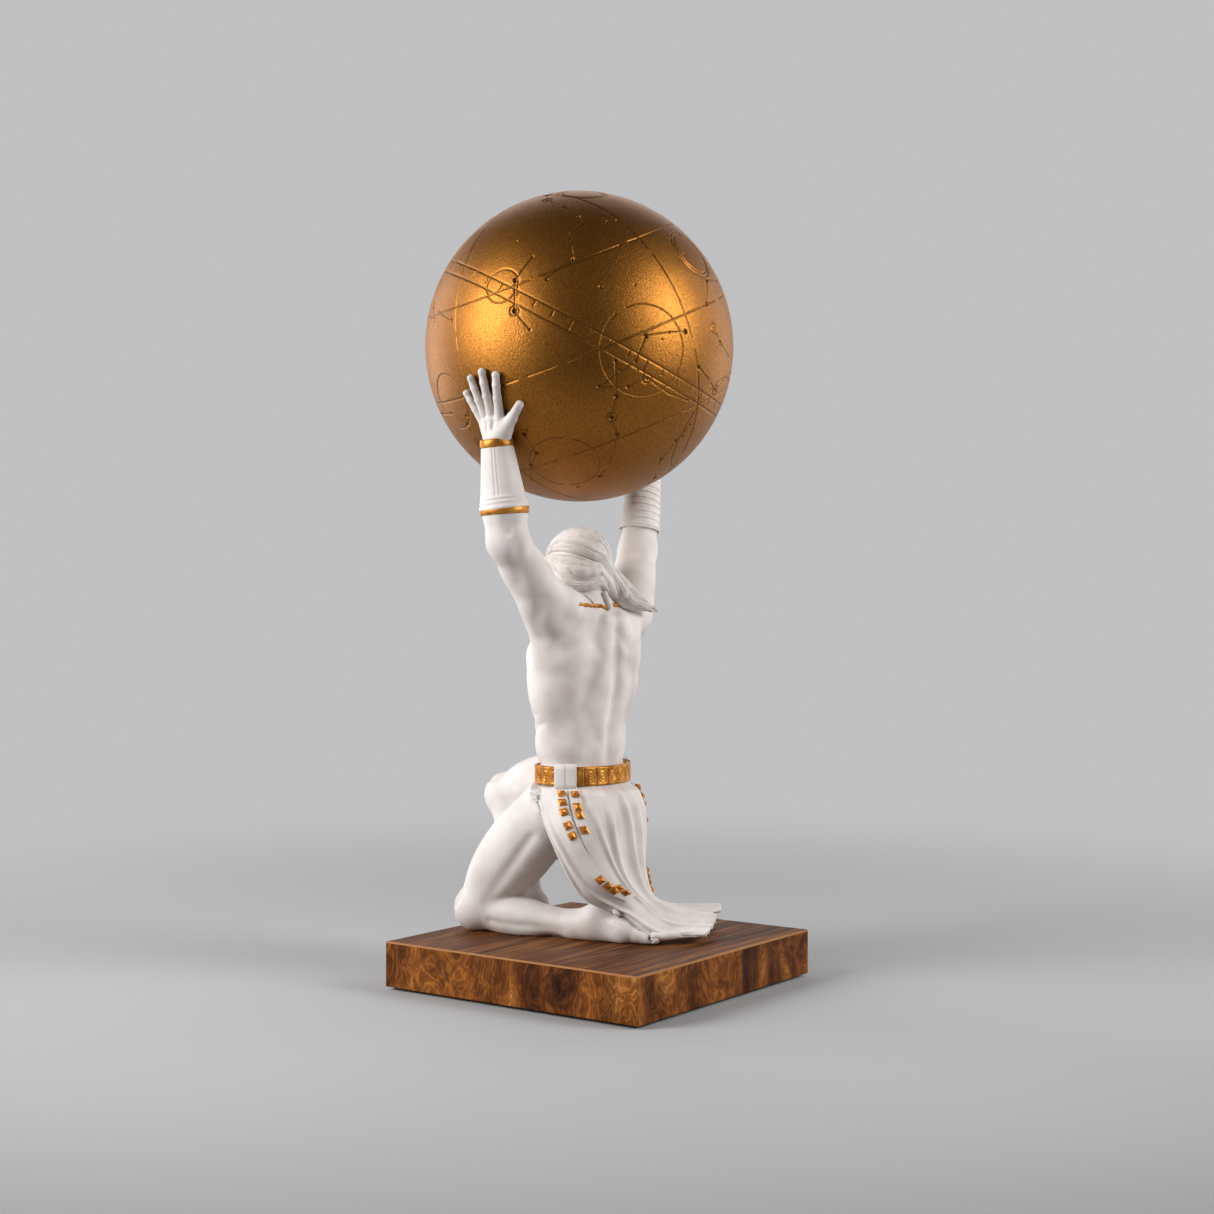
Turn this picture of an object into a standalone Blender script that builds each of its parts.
"""A kneeling porcelain man who holds a gold ball over his head, on a square wooden base."""
import math

import bmesh
import bpy
import numpy as np
from mathutils import Matrix, Vector

# Driving sizes in metres. The man faces -Y, and the felt's underside is at z = 0.
BASE_SIDE = 0.230
BASE_THICKNESS = 0.034
BASE_EDGE = 0.0012
FELT_THICKNESS = 0.0013
FELT_INSET = 0.005
GLOBE_DIAMETER = 0.235
HEAD_CLEARANCE = 0.021
FIGURE_HEIGHT = 0.470
CLOTH_THICKNESS = 0.0042
GAP = 0.0003

# Fineness of the man's surface.
SKIN_VOXEL = 0.0019
CAST_VOXEL = 0.00135
FIGURE_FACES = 7600
GLOBE_SEGMENTS = 40
GLOBE_RINGS = 22

# The pose is written in 470ths of the man's standing height, from the base's top face.
SHARE = FIGURE_HEIGHT / 470.0
BASE_BOTTOM = FELT_THICKNESS + GAP
BASE_TOP = BASE_BOTTOM + BASE_THICKNESS
GROUND = BASE_TOP + GAP
GLOBE_RADIUS = GLOBE_DIAMETER / 2.0

# Named places of the pose.
PELVIS = (0.0, -17.0, 112.0)
BELT_HEIGHT = 123.0
BELT_RADII = (41.5, 33.0)
BELT_WIDTH = 14.5
CHEST_HEIGHT = 200.0
CHEST_YAW = math.radians(-12.0)
NECK_BASE = (0.0, -8.0, 246.0)
HEAD_CENTRE = (0.0, -23.5, 278.0)
HEAD_TOP = 309.0
HEAD_PITCH = math.radians(32.0)
HEAD_YAW = math.radians(-8.0)
LEFT_SHOULDER = (43.0, -15.0, 240.0)
RIGHT_SHOULDER = (-41.0, -4.0, 240.0)
LEFT_ELBOW = (93.0, -19.0, 298.0)
RIGHT_ELBOW = (-81.0, -26.0, 293.0)
LEFT_HIP = (23.0, -17.0, 111.0)
RIGHT_HIP = (-23.0, -17.0, 111.0)
LEFT_KNEE = (35.0, -92.0, 16.5)
RIGHT_KNEE = (-30.0, -116.0, 97.0)
LEFT_ANKLE = (20.0, 10.0, 12.0)
RIGHT_ANKLE = (-8.0, -72.0, 15.0)
RIGHT_FOOT_TURN = math.radians(20.0)

# The ball's centre, and how far below its equator the knuckles lie.
GLOBE_HEIGHT = BASE_TOP + HEAD_TOP * SHARE + HEAD_CLEARANCE + GLOBE_RADIUS
GLOBE_CENTRE = np.array((0.0, -20.0 * SHARE, GLOBE_HEIGHT))
KNUCKLE_DROP = math.radians(28.5)
# How far forward of the man's middle each hand lies, for his left and his right.
HAND_FORWARD = {1: 2.0, -1: 8.0}


def place(point):
    """A point of the pose in metres."""
    return np.array(point, float) * SHARE + np.array((0.0, 0.0, BASE_TOP))


def unit(vector):
    vector = np.asarray(vector, float)
    return vector / np.linalg.norm(vector)


def frame_along(direction, side):
    """Three axes as columns: across, out and along a limb, with out as near side as it goes."""
    along = unit(direction)
    out = unit(np.asarray(side, float) - along * np.dot(side, along))
    return np.column_stack((np.cross(out, along), out, along))


def turned(yaw, pitch=0.0):
    """Axes left, back and up of a head or trunk that is turned and bowed forward."""
    spin = Matrix.Rotation(yaw, 3, "Z") @ Matrix.Rotation(pitch, 3, "X")
    return np.array(spin)


class Form:
    """Soft masses that flow into each other, and strokes that carve the surface."""

    def __init__(self):
        self.masses = []
        self.strokes = []

    def limb(self, start, start_radius, end, end_radius, blend=5.0):
        """A tapered mass between two points."""
        self.masses.append(("limb", np.array(start, float), start_radius * SHARE,
                            np.array(end, float), end_radius * SHARE, blend * SHARE))

    def oval(self, centre, radii, axes=None, blend=6.0):
        """An egg-shaped mass."""
        axes = np.eye(3) if axes is None else np.asarray(axes, float)
        radii = np.array(radii, float) * SHARE
        self.masses.append(("oval", np.array(centre, float), radii, axes, None, blend * SHARE))

    def stroke(self, points, width, depth):
        """A groove along a line of points, or a ridge where depth is negative."""
        self.strokes.append((np.array(points, float), width * SHARE, depth * SHARE))

    def distance(self, points):
        """Signed distance of points to the blended surface."""
        total = None
        for mass in self.masses:
            part = mass_distance(points, mass)
            blend = mass[5]
            if total is None:
                total = part
                continue
            near = np.maximum(blend - np.abs(total - part), 0.0) / blend
            total = np.minimum(total, part) - near * near * blend / 4.0
        for line, width, depth in self.strokes:
            away = line_distance(points, line)
            total = total + depth * np.exp(-(away / width) ** 2)
        return total


def mass_distance(points, mass):
    if mass[0] == "limb":
        _, start, start_radius, end, end_radius, _ = mass
        span = end - start
        along = np.clip((points - start) @ span / (span @ span), 0.0, 1.0)
        offset = points - start - along[:, None] * span
        return np.linalg.norm(offset, axis=1) - start_radius - along * (end_radius - start_radius)
    _, centre, radii, axes, _, _ = mass
    local = (points - centre) @ axes
    near = np.linalg.norm(local / radii, axis=1)
    steep = np.linalg.norm(local / radii ** 2, axis=1) + 1e-9
    return near * (near - 1.0) / steep


def line_distance(points, line):
    best = None
    for start, end in zip(line[:-1], line[1:]):
        span = end - start
        along = np.clip((points - start) @ span / (span @ span), 0.0, 1.0)
        away = np.linalg.norm(points - start - along[:, None] * span, axis=1)
        best = away if best is None else np.minimum(best, away)
    return best


# Trunk, head, arms, hands, legs and feet.

def trunk_point(side, back, height):
    """A point of the trunk, side to the left, back behind its middle, turned with the chest."""
    rise = np.clip((height - BELT_HEIGHT) / (CHEST_HEIGHT - BELT_HEIGHT), 0.0, 1.0)
    lean = np.clip((height - CHEST_HEIGHT) / 46.0, 0.0, 1.0)
    yaw = CHEST_YAW * rise
    middle = -17.0 + 9.0 * lean * lean
    x = side * math.cos(yaw) - back * math.sin(yaw)
    y = middle + side * math.sin(yaw) + back * math.cos(yaw)
    return place((x, y, height))


def build_trunk(form):
    chest = turned(CHEST_YAW)
    waist = turned(CHEST_YAW * 0.4)
    form.oval(place(PELVIS), (38, 30, 25))
    form.oval(trunk_point(0, 0, 146), (38, 29.5, 40), waist)
    form.oval(trunk_point(0, -2, 172), (41, 30, 34), waist)
    form.oval(trunk_point(0, -1, 196), (43, 30, 42), chest, 8)
    form.oval(trunk_point(0, 0, 226), (39, 25, 23), chest, 8)
    for side in (1, -1):
        form.oval(trunk_point(20 * side, 13, 101), (22, 21, 25), None, 7)
        form.oval(trunk_point(30 * side, 1, 198), (17.5, 22, 38), chest, 9)
        form.oval(trunk_point(19 * side, -19, 213), (22, 12.5, 17), chest, 8)
        form.oval(trunk_point(25 * side, 17, 220), (17, 10.5, 23), chest, 7)
        form.oval(trunk_point(28 * side, -2, 146), (12, 20, 28), waist, 7)
        form.oval(trunk_point(10 * side, -25, 168), (9, 6, 32), waist, 5)
        form.limb(trunk_point(9 * side, 18.5, 126), 8.5, trunk_point(9.5 * side, 20.5, 190), 9, 6)
        form.limb(trunk_point(9 * side, 20.5, 190), 8, trunk_point(7 * side, 17, 238), 7, 6)
        form.limb(place(NECK_BASE) + np.array((8 * side, 4, 6)) * SHARE, 8,
                  trunk_point(34 * side, 4, 240), 11, 8)
    spine = [trunk_point(0, 32, height) for height in (126, 150, 175, 205, 232)]
    form.stroke(spine, 3.2, 2.6)
    chest_line = [trunk_point(0, -36, height) for height in (190, 208, 224)]
    form.stroke(chest_line, 3.0, 1.8)
    form.limb(place(NECK_BASE), 15, place((0, -17, 268)), 13, 6)


def head_point(side, back, up):
    """A point of the head from its centre, turned and bowed with it."""
    offset = turned(HEAD_YAW, HEAD_PITCH) @ np.array((side, back, up), float)
    return place(HEAD_CENTRE) + offset * SHARE


def build_head(form):
    axes = turned(HEAD_YAW, HEAD_PITCH)
    form.oval(head_point(0, 2, 5), (22, 27, 23), axes, 5)
    form.oval(head_point(0, -9, -10), (17, 17, 21), axes, 6)
    form.oval(head_point(0, -19, -25), (8, 8, 7), axes, 6)
    form.limb(head_point(0, -24.5, 1), 2.4, head_point(0, -29, -9.5), 3.6, 3)
    for side in (1, -1):
        form.limb(head_point(3 * side, -23.5, 4), 2.6, head_point(14 * side, -18, 3), 2.6, 3)
        form.oval(head_point(12 * side, -17, -6), (6, 5, 6), axes, 5)
        form.oval(head_point(8.5 * side, -20.5, -1.5), (4, 3.2, 2.6), axes, 2)
        form.oval(head_point(22 * side, 1, -3), (2.6, 4.6, 7), axes, 2)
    form.oval(head_point(0, -23.5, -15), (7, 3.6, 2.2), axes, 2)
    form.oval(head_point(0, -23, -18.5), (5.5, 3.4, 2.2), axes, 2)
    form.stroke([head_point(side, -27.2 + 0.03 * side * side, -16.8) for side in (-6, 0, 6)],
                0.9, 0.9)


def build_arm(form, shoulder, elbow, wrist, side):
    """A raised arm: shoulder cap, biceps, triceps and the forearm's two bellies."""
    top, bend, end = place(shoulder), place(elbow), np.asarray(wrist, float)
    upper = frame_along(bend - top, (0.0, -1.0, 0.0))
    lower = frame_along(end - bend, (0.0, -1.0, 0.0))
    outward = upper[:, 0] * np.sign(upper[0, 0] * side)
    reach = np.linalg.norm(bend - top) / SHARE
    form.limb(top, 15, bend, 13.5, 6)
    form.oval(top + (bend - top) * 0.16 + outward * 4 * SHARE, (17, 17.5, 24), upper, 6)
    form.oval(top + (bend - top) * 0.55 + upper[:, 1] * 5 * SHARE, (14, 13.5, reach * 0.36),
              upper, 5)
    form.oval(top + (bend - top) * 0.50 - upper[:, 1] * 5 * SHARE, (13.5, 13, reach * 0.42),
              upper, 5)
    form.limb(bend, 14.0, end, 9.6, 5)
    span = np.linalg.norm(end - bend) / SHARE
    across = lower[:, 0] * np.sign(lower[0, 0] * side)
    form.oval(bend + (end - bend) * 0.26 + across * 3 * SHARE, (12.5, 14, span * 0.36), lower, 5)
    form.oval(bend + (end - bend) * 0.24 - across * 3 * SHARE, (12, 12.5, span * 0.34), lower, 5)


def on_globe(across, rise, lift, side):
    """A point lift above the ball, from the middle knuckle: across to the back, rise up."""
    reach = GLOBE_RADIUS + lift * SHARE
    turn = (across - HAND_FORWARD[side]) * SHARE / reach
    tilt = -KNUCKLE_DROP + rise * SHARE / reach
    direction = np.array((side * math.cos(tilt) * math.cos(turn), math.cos(tilt) * math.sin(turn),
                          math.sin(tilt)))
    return GLOBE_CENTRE + direction * reach


def hand_wrist(side):
    """The wrist's middle, below the palm and a little off the ball."""
    return on_globe(0.5, -27.0, 9.0, side)


# Each finger: across and up to its knuckle, its spread from upright in degrees, its length
# and its radius at the knuckle.
FINGERS = {
    "index": (10.0, -1.0, 11.0, 27.0, 4.1),
    "middle": (1.0, 0.5, 1.0, 29.0, 4.2),
    "ring": (-6.8, -1.5, -9.0, 26.0, 4.0),
    "little": (-12.5, -5.0, -21.0, 20.0, 3.6),
}


def build_hand(form, side):
    """An open hand, palm on the ball, fingers up and thumb to the back."""
    wrist = hand_wrist(side)
    for across, rise, spread, length, radius in FINGERS.values():
        knuckle = on_globe(across, rise, radius, side)
        form.limb(wrist, 7.5, knuckle, radius + 1.4, 4)
        lean = math.radians(spread)
        last, last_radius = knuckle, radius
        for share in (0.45, 0.76, 1.0):
            tip = on_globe(across + math.sin(lean) * length * share,
                           rise + math.cos(lean) * length * share, radius * 0.9, side)
            form.limb(last, last_radius, tip, radius * (1.0 - 0.22 * share), 1.5)
            last, last_radius = tip, radius * (1.0 - 0.22 * share)
    heel = on_globe(7.0, -16.0, 7.0, side)
    thumb_base = on_globe(15.0, -10.0, 6.0, side)
    thumb_knuckle = on_globe(24.0, -2.0, 4.2, side)
    thumb_tip = on_globe(33.0, 5.5, 3.6, side)
    form.limb(wrist, 8, heel, 8, 4)
    form.limb(heel, 8, thumb_base, 6.2, 4)
    form.limb(thumb_base, 6.0, thumb_knuckle, 4.6, 3)
    form.limb(thumb_knuckle, 4.5, thumb_tip, 3.6, 2)


def build_leg(form, hip, knee, ankle, forward):
    """Thigh, knee and calf. Forward points to the front of the thigh."""
    top, bend, end = place(hip), place(knee), place(ankle)
    thigh = frame_along(bend - top, forward)
    length = np.linalg.norm(bend - top) / SHARE
    form.limb(top, 26, bend, 17, 7)
    form.oval(top + (bend - top) * 0.50 + thigh[:, 1] * 10 * SHARE, (21, 20, length * 0.46),
              thigh, 7)
    form.oval(top + (bend - top) * 0.46 - thigh[:, 1] * 7 * SHARE, (18.5, 17, length * 0.40),
              thigh, 7)
    form.oval(bend + thigh[:, 1] * 2 * SHARE, (14.5, 15.5, 16), thigh, 5)
    shin = frame_along(end - bend, forward)
    calf = np.linalg.norm(end - bend) / SHARE
    form.limb(bend, 14.5, end, 9.0, 6)
    form.oval(bend + (end - bend) * 0.36 - shin[:, 1] * 4 * SHARE, (14.5, 14, calf * 0.30),
              shin, 6)
    form.oval(bend + (end - bend) * 0.30 + shin[:, 1] * 3 * SHARE, (13, 11, calf * 0.30),
              shin, 6)


def right_foot(forward, side, up):
    """A point of the right foot, forward of its ankle and towards its outer side."""
    ahead, across = math.cos(RIGHT_FOOT_TURN), math.sin(RIGHT_FOOT_TURN)
    x = RIGHT_ANKLE[0] - forward * across - side * ahead
    y = RIGHT_ANKLE[1] - forward * ahead + side * across
    return place((x, y, up))


def build_feet(form):
    """The left foot lies on its instep with the sole up, and the right foot stands flat."""
    form.limb(place(LEFT_ANKLE), 10.0, place((18, 20, 22)), 9.5, 5)
    form.limb(place((18, 21, 21)), 9.0, place((12, 38, 13)), 8.0, 5)
    form.limb(place((20, 12, 10)), 9.0, place((15, 40, 8)), 7.5, 5)
    for toe in range(5):
        across = 5.5 - 4.6 * toe
        start = place((11 + across, 40 - toe, 8.0))
        form.limb(start, 6.2, place((7 + across, 52 - 1.5 * toe, 5.0)), 4.6, 3)
        form.limb(place((7 + across, 52 - 1.5 * toe, 5.0)), 4.4,
                  place((5 + across, 60 - 2 * toe, 4.0)), 3.6, 2)
    form.limb(place(RIGHT_ANKLE), 10.5, right_foot(-5, 0, 9), 9.5, 5)
    form.limb(place(RIGHT_ANKLE), 10.0, right_foot(25, 0, 8), 7.5, 6)
    form.limb(right_foot(-4, 0, 8), 9.0, right_foot(24, 1, 6), 7.0, 5)
    for toe in range(5):
        side = 4.6 * toe - 9.0
        middle = right_foot(33.5 - 2 * toe, side * 1.05, 5.0)
        form.limb(right_foot(26 - 1.2 * toe, side, 7.0), 6.2, middle, 4.6, 3)
        form.limb(middle, 4.4, right_foot(38 - 2.4 * toe, side * 1.05, 4.0), 3.8, 2)


def build_body():
    form = Form()
    build_trunk(form)
    build_head(form)
    build_arm(form, LEFT_SHOULDER, LEFT_ELBOW, hand_wrist(1), 1)
    build_arm(form, RIGHT_SHOULDER, RIGHT_ELBOW, hand_wrist(-1), -1)
    build_hand(form, 1)
    build_hand(form, -1)
    build_leg(form, LEFT_HIP, LEFT_KNEE, LEFT_ANKLE, (0.3, -0.6, 0.9))
    build_leg(form, RIGHT_HIP, RIGHT_KNEE, RIGHT_ANKLE, (0.0, -0.2, 1.0))
    build_feet(form)
    return form


# Cloth: a sheet that hangs from the belt, wraps the hips and trails over the left heel.
# Each line runs from the belt to the hem, and the lines go from the near edge on the left
# thigh round the back to the edge on the right thigh.
CLOTH_LINES = (
    ((28, -43, 117), (48, -19, 76), (39, 5, 36), (12, 27, 29), (5, 50, 7), (-15, 86, 4)),
    ((41, -13, 117), (48, 4, 88), (36, 22, 50), (14, 36, 26), (1, 58, 10), (-28, 81, 6)),
    ((22, 12, 117), (23, 22, 90), (14, 27, 52), (1, 37, 27), (-12, 56, 14), (-45, 74, 9)),
    ((-16, 14, 117), (-15, 21, 90), (-15, 23, 52), (-18, 30, 27), (-32, 44, 17), (-65, 64, 11)),
    ((-39, -7, 117), (-42, 1, 88), (-38, 5, 50), (-36, 14, 27), (-46, 30, 17), (-86, 52, 12)),
    ((-32, -40, 117), (-50, -26, 88), (-50, -10, 50), (-44, 6, 24), (-52, 20, 8), (-78, 42, 3)),
)
# Each fold: its place across the cloth at the belt and at the hem, its width and its depth.
CLOTH_FOLDS = (
    (0.06, 0.10, 0.030, 2.6),
    (0.30, 0.24, 0.026, 3.2),
    (0.40, 0.36, 0.030, 3.4),
    (0.48, 0.50, 0.026, 3.2),
    (0.57, 0.62, 0.028, 3.4),
    (0.67, 0.72, 0.028, 3.2),
    (0.78, 0.81, 0.030, 3.4),
    (0.90, 0.91, 0.030, 3.0),
)


def spline(knots, count):
    """Points at even steps on a smooth curve through the knots, which may be rows of points."""
    knots = np.asarray(knots, float)
    padded = np.concatenate((2 * knots[:1] - knots[1:2], knots, 2 * knots[-1:] - knots[-2:-1]))
    places = np.linspace(0.0, len(knots) - 1.0, count)
    index = np.minimum(places.astype(int), len(knots) - 2)
    step = (places - index).reshape((-1,) + (1,) * (knots.ndim - 1))
    before, start = padded[index], padded[index + 1]
    end, after = padded[index + 2], padded[index + 3]
    return 0.5 * (2 * start + (end - before) * step
                  + (2 * before - 5 * start + 4 * end - after) * step ** 2
                  + (3 * start - before - 3 * end + after) * step ** 3)


def grid_normals(grid):
    across = np.gradient(grid, axis=0)
    down = np.gradient(grid, axis=1)
    normal = np.cross(across, down)
    return normal / (np.linalg.norm(normal, axis=2, keepdims=True) + 1e-12)


def cloth_grid(columns, rows):
    """Points of the cloth's outer face, with its folds."""
    lines = np.array([[place(point) for point in line] for line in CLOTH_LINES])
    down = np.swapaxes(spline(np.swapaxes(lines, 0, 1), rows), 0, 1)
    grid = spline(down, columns)
    outward = grid_normals(grid)
    across = np.linspace(0.0, 1.0, columns)[:, None]
    fall = np.linspace(0.0, 1.0, rows)[None, :]
    relief = np.zeros((columns, rows))
    for top, bottom, width, depth in CLOTH_FOLDS:
        centre = top + (bottom - top) * fall
        relief += depth * SHARE * np.exp(-((across - centre) / width) ** 2)
    swell = np.clip(fall * 5.0, 0.0, 1.0) * (1.0 - 0.35 * fall)
    return grid - outward * (relief * swell)[:, :, None]


def grid_object(name, grid):
    """A mesh of square faces over a grid of points."""
    columns, rows = grid.shape[:2]
    mesh = bpy.data.meshes.new(name)
    faces = [(i * rows + j, (i + 1) * rows + j, (i + 1) * rows + j + 1, i * rows + j + 1)
             for i in range(columns - 1) for j in range(rows - 1)]
    mesh.from_pydata(grid.reshape(-1, 3).tolist(), [], faces)
    item = bpy.data.objects.new(name, mesh)
    bpy.context.scene.collection.objects.link(item)
    return item


def make_cloth():
    cloth = grid_object("cloth", cloth_grid(72, 60))
    thick = cloth.modifiers.new("thickness", "SOLIDIFY")
    thick.thickness = CLOTH_THICKNESS
    thick.offset = -1.0
    return applied(cloth)


# Hair: locks that run from the crown over the back of the head to the right shoulder.
def make_hair():
    """Locks as tapered tubes over a cap on the skull."""
    hair = []
    count = 9
    for lock in range(count):
        share = lock / (count - 1)
        sweep = (share - 0.5) * 2.0
        points = [
            head_point(20 - 9 * share, -12 + 5 * share, 14 + 6 * share),
            head_point(10 - 12 * share, 8 + 4 * share, 22 - 3 * share),
            head_point(-6 - 6 * share, 22, 10 - 6 * sweep),
            place((-15, -4 + 3 * sweep, 268 - 7 * sweep)),
            place((-25 + 2 * sweep, 10, 257 - 5 * sweep)),
            place((-37, 20 + 2 * sweep, 247 - 2 * sweep)),
        ]
        hair.append(tube("lock", spline(points, 22), 5.2 * SHARE, 2.4 * SHARE))
    cap = Form()
    axes = turned(HEAD_YAW, HEAD_PITCH)
    cap.oval(head_point(0, 4, 5), (24.5, 28, 23.5), axes)
    cap.limb(place((-5, -7, 274)), 15, place((-20, 7, 259)), 9.5)
    cap.limb(place((-20, 7, 259)), 9.5, place((-35, 19, 248)), 4.5)
    hair.extend(mass_object("hair_cap", mass) for mass in cap.masses)
    return hair


def tube(name, points, start_radius, end_radius):
    """A tapered tube along points, as a curve with a round bevel."""
    curve = bpy.data.curves.new(name, "CURVE")
    curve.dimensions = "3D"
    curve.bevel_depth = 1.0
    curve.bevel_resolution = 2
    curve.use_fill_caps = True
    line = curve.splines.new("POLY")
    line.points.add(len(points) - 1)
    for index, point in enumerate(points):
        share = index / (len(points) - 1)
        line.points[index].co = (*point, 1.0)
        line.points[index].radius = start_radius + (end_radius - start_radius) * share
    item = bpy.data.objects.new(name, curve)
    bpy.context.scene.collection.objects.link(item)
    return applied(item)


# Belt, cuffs and wrist band.
def ring(name, centre, axes, radii, width, taper=1.0):
    """A closed band: a cone with rounded edges, wide as radii at its foot."""
    mesh = bpy.data.meshes.new(name)
    shape = bmesh.new()
    bmesh.ops.create_cone(shape, cap_ends=True, segments=40, radius1=1.0, radius2=taper, depth=1.0)
    stretch = Matrix(np.column_stack((axes[:, 0] * radii[0], axes[:, 1] * radii[1],
                                      axes[:, 2] * width)).tolist()).to_4x4()
    bmesh.ops.transform(shape, matrix=Matrix.Translation(Vector(centre)) @ stretch,
                        verts=shape.verts)
    shape.to_mesh(mesh)
    shape.free()
    item = bpy.data.objects.new(name, mesh)
    bpy.context.scene.collection.objects.link(item)
    return item


def make_bands():
    """The belt, the left arm's cuff and band, the right arm's wrapping and the front flap."""
    bands = [ring("belt", place((0, -17, BELT_HEIGHT)), np.eye(3),
                  np.array(BELT_RADII) * SHARE, BELT_WIDTH * SHARE)]
    for side, elbow in ((1, LEFT_ELBOW), (-1, RIGHT_ELBOW)):
        wrist, bend = hand_wrist(side), place(elbow)
        arm = frame_along(wrist - bend, (0.0, -1.0, 0.0))
        low, high = (0.24, 0.93)
        middle = bend + (wrist - bend) * (low + high) / 2.0
        length = np.linalg.norm(wrist - bend) * (high - low)
        bands.append(ring("cuff", middle, arm, (17.2 * SHARE, 17.2 * SHARE), length, 0.74))
        bands.append(ring("cuff_ring", bend + (wrist - bend) * low, arm,
                          (18.2 * SHARE, 18.2 * SHARE), 5.0 * SHARE))
    return bands


def make_flap():
    """A narrow cloth that hangs between the thighs in front."""
    lines = [[place((side, -48 - abs(side) * -0.25, 117)), place((side * 0.9, -54, 100)),
              place((side * 0.7, -50, 78)), place((side * 0.9, -44, 52))]
             for side in (-17, -9, 0, 9, 17)]
    grid = spline(np.swapaxes(spline(np.swapaxes(np.array(lines), 0, 1), 16), 0, 1), 16)
    flap = grid_object("flap", grid)
    thick = flap.modifiers.new("thickness", "SOLIDIFY")
    thick.thickness = CLOTH_THICKNESS
    thick.offset = 0.0
    return applied(flap)


# Turning masses into one closed cast.
def mass_object(name, mass):
    """One mass as a stretched sphere."""
    mesh = bpy.data.meshes.new(name)
    shape = bmesh.new()
    bmesh.ops.create_uvsphere(shape, u_segments=20, v_segments=14, radius=1.0)
    for vertex in shape.verts:
        point = np.array(vertex.co)
        if mass[0] == "oval":
            vertex.co = mass[1] + mass[3] @ (point * mass[2])
        else:
            axes = frame_along(mass[3] - mass[1] + 1e-7, (0.31, 0.87, 0.39))
            upper = point[2] > 0.0
            middle, radius = (mass[3], mass[4]) if upper else (mass[1], mass[2])
            vertex.co = middle + axes @ point * radius
    shape.to_mesh(mesh)
    shape.free()
    item = bpy.data.objects.new(name, mesh)
    bpy.context.scene.collection.objects.link(item)
    return item


def applied(item):
    """The object with its modifiers or curve turned into a plain mesh."""
    graph = bpy.context.evaluated_depsgraph_get()
    mesh = bpy.data.meshes.new_from_object(item.evaluated_get(graph))
    shape = bmesh.new()
    shape.from_mesh(mesh)
    bmesh.ops.remove_doubles(shape, verts=shape.verts, dist=1e-6)
    bmesh.ops.recalc_face_normals(shape, faces=shape.faces)
    shape.to_mesh(mesh)
    shape.free()
    plain = bpy.data.objects.new(item.name + "_mesh", mesh)
    plain.matrix_world = item.matrix_world.copy()
    bpy.context.scene.collection.objects.link(plain)
    bpy.data.objects.remove(item)
    return plain


def joined(name, items):
    """Several meshes as one object, still as loose shells."""
    whole = bmesh.new()
    for item in items:
        part = item.data.copy()
        part.transform(item.matrix_world)
        whole.from_mesh(part)
        bpy.data.meshes.remove(part)
        bpy.data.objects.remove(item)
    mesh = bpy.data.meshes.new(name)
    whole.to_mesh(mesh)
    whole.free()
    result = bpy.data.objects.new(name, mesh)
    bpy.context.scene.collection.objects.link(result)
    return result


def fused(item, voxel):
    """Loose shells fused to one closed surface."""
    remesh = item.modifiers.new("fuse", "REMESH")
    remesh.mode = "VOXEL"
    remesh.voxel_size = voxel
    return applied(item)


def settled(item, form, rounds=4):
    """The surface moved onto the blended form."""
    mesh = item.data
    points = np.empty(len(mesh.vertices) * 3)
    mesh.vertices.foreach_get("co", points)
    points = points.reshape(-1, 3)
    step = 0.0002
    for _ in range(rounds):
        here = form.distance(points)
        slope = np.empty_like(points)
        for axis in range(3):
            moved = points.copy()
            moved[:, axis] += step
            slope[:, axis] = (form.distance(moved) - here) / step
        size = np.maximum((slope ** 2).sum(axis=1), 0.2)
        points -= slope * (here / size)[:, None]
    mesh.vertices.foreach_set("co", points.ravel())
    mesh.update()
    return item


def smoothed(item, factor, rounds):
    smooth = item.modifiers.new("smooth", "SMOOTH")
    smooth.factor = factor
    smooth.iterations = rounds
    return applied(item)


def cutter(name, item, cutters):
    """A shape kept only as a tool for cuts."""
    item.name = name
    item.hide_render = True
    item.display_type = "WIRE"
    for home in list(item.users_collection):
        home.objects.unlink(item)
    cutters.objects.link(item)
    return item


def cut(item, tool):
    knife = item.modifiers.new("cut_" + tool.name, "BOOLEAN")
    knife.operation = "DIFFERENCE"
    knife.object = tool
    knife.solver = "EXACT"


def largest_shell(item):
    """Drops crumbs that the cuts leave loose."""
    shape = bmesh.new()
    shape.from_mesh(item.data)
    seen, shells = set(), []
    for start in shape.verts:
        if start.index in seen:
            continue
        shell, stack = [], [start]
        seen.add(start.index)
        while stack:
            vertex = stack.pop()
            shell.append(vertex)
            for edge in vertex.link_edges:
                other = edge.other_vert(vertex)
                if other.index not in seen:
                    seen.add(other.index)
                    stack.append(other)
        shells.append(shell)
    shells.sort(key=len)
    for shell in shells[:-1]:
        bmesh.ops.delete(shape, geom=shell, context="VERTS")
    shape.to_mesh(item.data)
    shape.free()
    return item


def box(name, size, centre):
    """A rectangular block."""
    mesh = bpy.data.meshes.new(name)
    shape = bmesh.new()
    bmesh.ops.create_cube(shape, size=1.0)
    bmesh.ops.scale(shape, vec=size, verts=shape.verts)
    shape.to_mesh(mesh)
    shape.free()
    item = bpy.data.objects.new(name, mesh)
    item.location = centre
    bpy.context.scene.collection.objects.link(item)
    return item


def ball(name, radius, centre, segments, rings):
    mesh = bpy.data.meshes.new(name)
    shape = bmesh.new()
    bmesh.ops.create_uvsphere(shape, u_segments=segments, v_segments=rings, radius=radius)
    shape.to_mesh(mesh)
    shape.free()
    mesh.shade_smooth()
    item = bpy.data.objects.new(name, mesh)
    item.location = centre
    bpy.context.scene.collection.objects.link(item)
    return item


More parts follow.
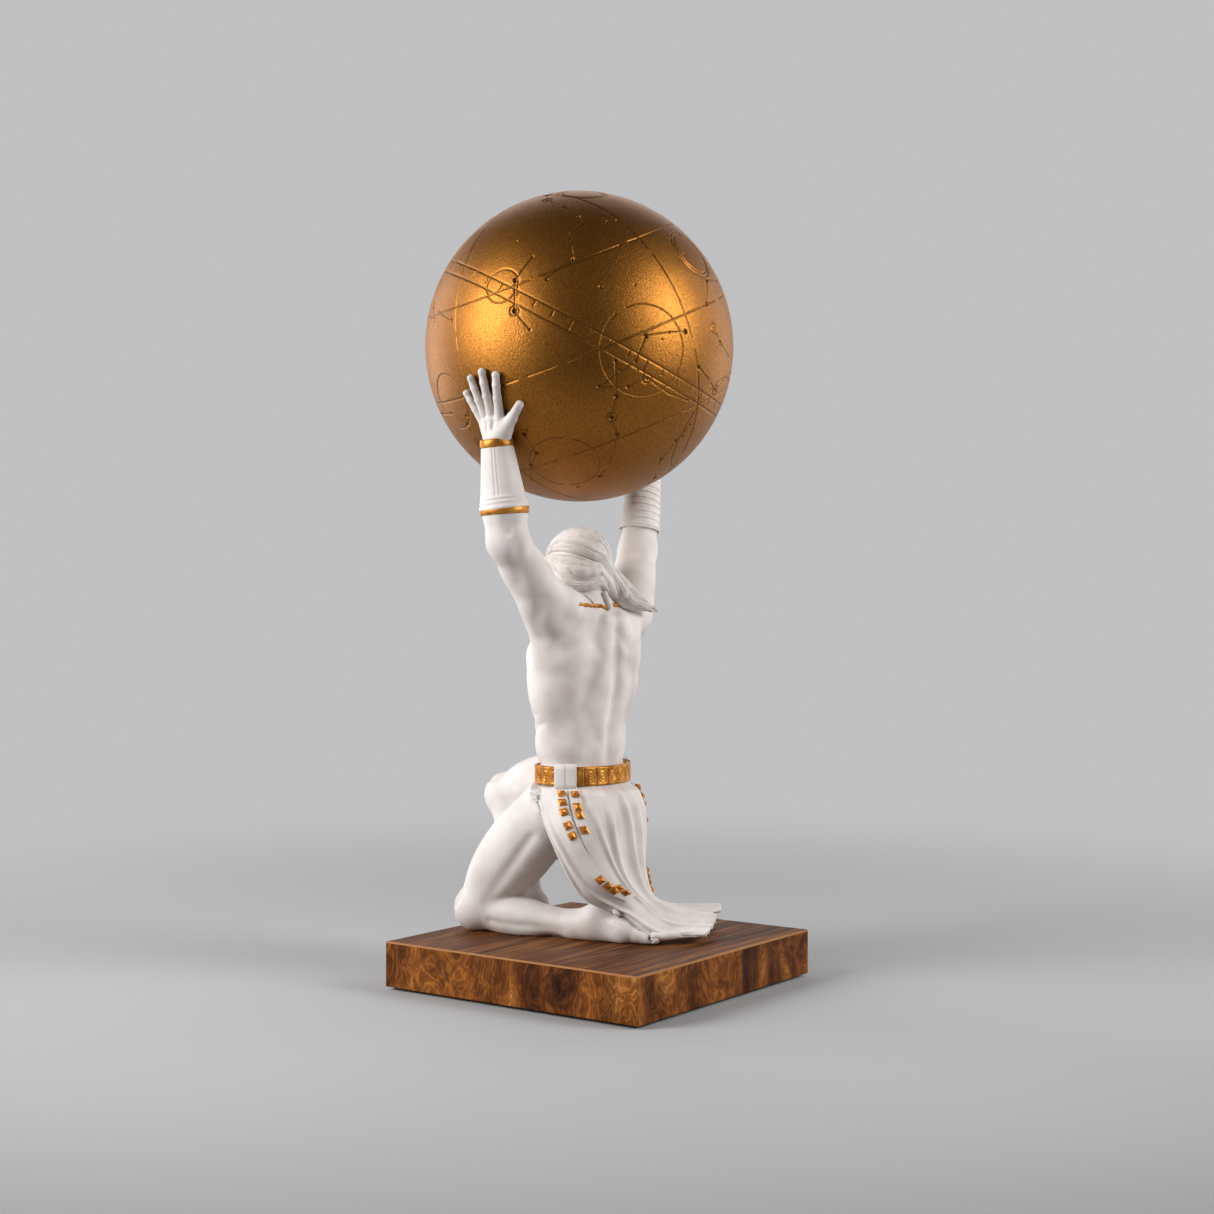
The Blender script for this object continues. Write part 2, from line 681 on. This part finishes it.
def material(name, colour, roughness, metallic=0.0):
    made = bpy.data.materials.new(name)
    made.use_nodes = True
    shader = made.node_tree.nodes["Principled BSDF"]
    shader.inputs["Base Color"].default_value = (*colour, 1.0)
    shader.inputs["Roughness"].default_value = roughness
    shader.inputs["Metallic"].default_value = metallic
    return made


def finish_piece(item, name, made, parts):
    """Names a piece, gives it its material and puts it with the parts."""
    item.name = name
    item.data.name = name
    item.data.materials.clear()
    item.data.materials.append(made)
    for home in list(item.users_collection):
        home.objects.unlink(item)
    parts.objects.link(item)


def make_figure(cutters):
    """The man with his cloth, hair and bands, cut where he meets the ball and the base."""
    form = build_body()
    body = joined("body", [mass_object("mass", mass) for mass in form.masses])
    body = settled(fused(body, SKIN_VOXEL), form)
    dress = [make_cloth(), make_flap(), *make_hair(), *make_bands()]
    figure = joined("figure", [body, *dress])
    figure = smoothed(fused(figure, CAST_VOXEL), 0.5, 3)
    fewer = figure.modifiers.new("fewer_faces", "DECIMATE")
    fewer.ratio = FIGURE_FACES / (2.0 * len(figure.data.polygons))
    figure = applied(figure)
    reach = GLOBE_RADIUS + GAP
    globe_space = ball("globe_space", reach, GLOBE_CENTRE, GLOBE_SEGMENTS, GLOBE_RINGS)
    ground_space = box("ground_space", (BASE_SIDE * 2, BASE_SIDE * 2, BASE_THICKNESS * 2),
                       (0, 0, GROUND - BASE_THICKNESS))
    cut(figure, cutter("globe_space", globe_space, cutters))
    cut(figure, cutter("ground_space", ground_space, cutters))
    return largest_shell(applied(figure))


def make_base():
    """The wooden slab with slightly rounded edges."""
    base = box("base", (BASE_SIDE, BASE_SIDE, BASE_THICKNESS),
               (0, 0, BASE_BOTTOM + BASE_THICKNESS / 2))
    edge = base.modifiers.new("rounded_edges", "BEVEL")
    edge.width = BASE_EDGE
    edge.segments = 3
    return base


def make_felt():
    side = BASE_SIDE - 2 * FELT_INSET
    return box("felt_pad", (side, side, FELT_THICKNESS), (0, 0, FELT_THICKNESS / 2))


def main():
    for item in list(bpy.data.objects):
        bpy.data.objects.remove(item)
    parts = bpy.data.collections.new("atlas_statue")
    cutters = bpy.data.collections.new("cutters")
    bpy.context.scene.collection.children.link(parts)
    bpy.context.scene.collection.children.link(cutters)
    porcelain = material("porcelain", (0.80, 0.78, 0.76), 0.55)
    gold = material("gold", (0.55, 0.32, 0.10), 0.38, 0.8)
    wood = material("wood", (0.27, 0.12, 0.045), 0.45)
    felt = material("felt", (0.02, 0.02, 0.02), 0.95)
    finish_piece(make_figure(cutters), "figure", porcelain, parts)
    globe = ball("globe", GLOBE_RADIUS, GLOBE_CENTRE, GLOBE_SEGMENTS, GLOBE_RINGS)
    finish_piece(globe, "globe", gold, parts)
    finish_piece(make_base(), "base", wood, parts)
    finish_piece(make_felt(), "felt_pad", felt, parts)


main()
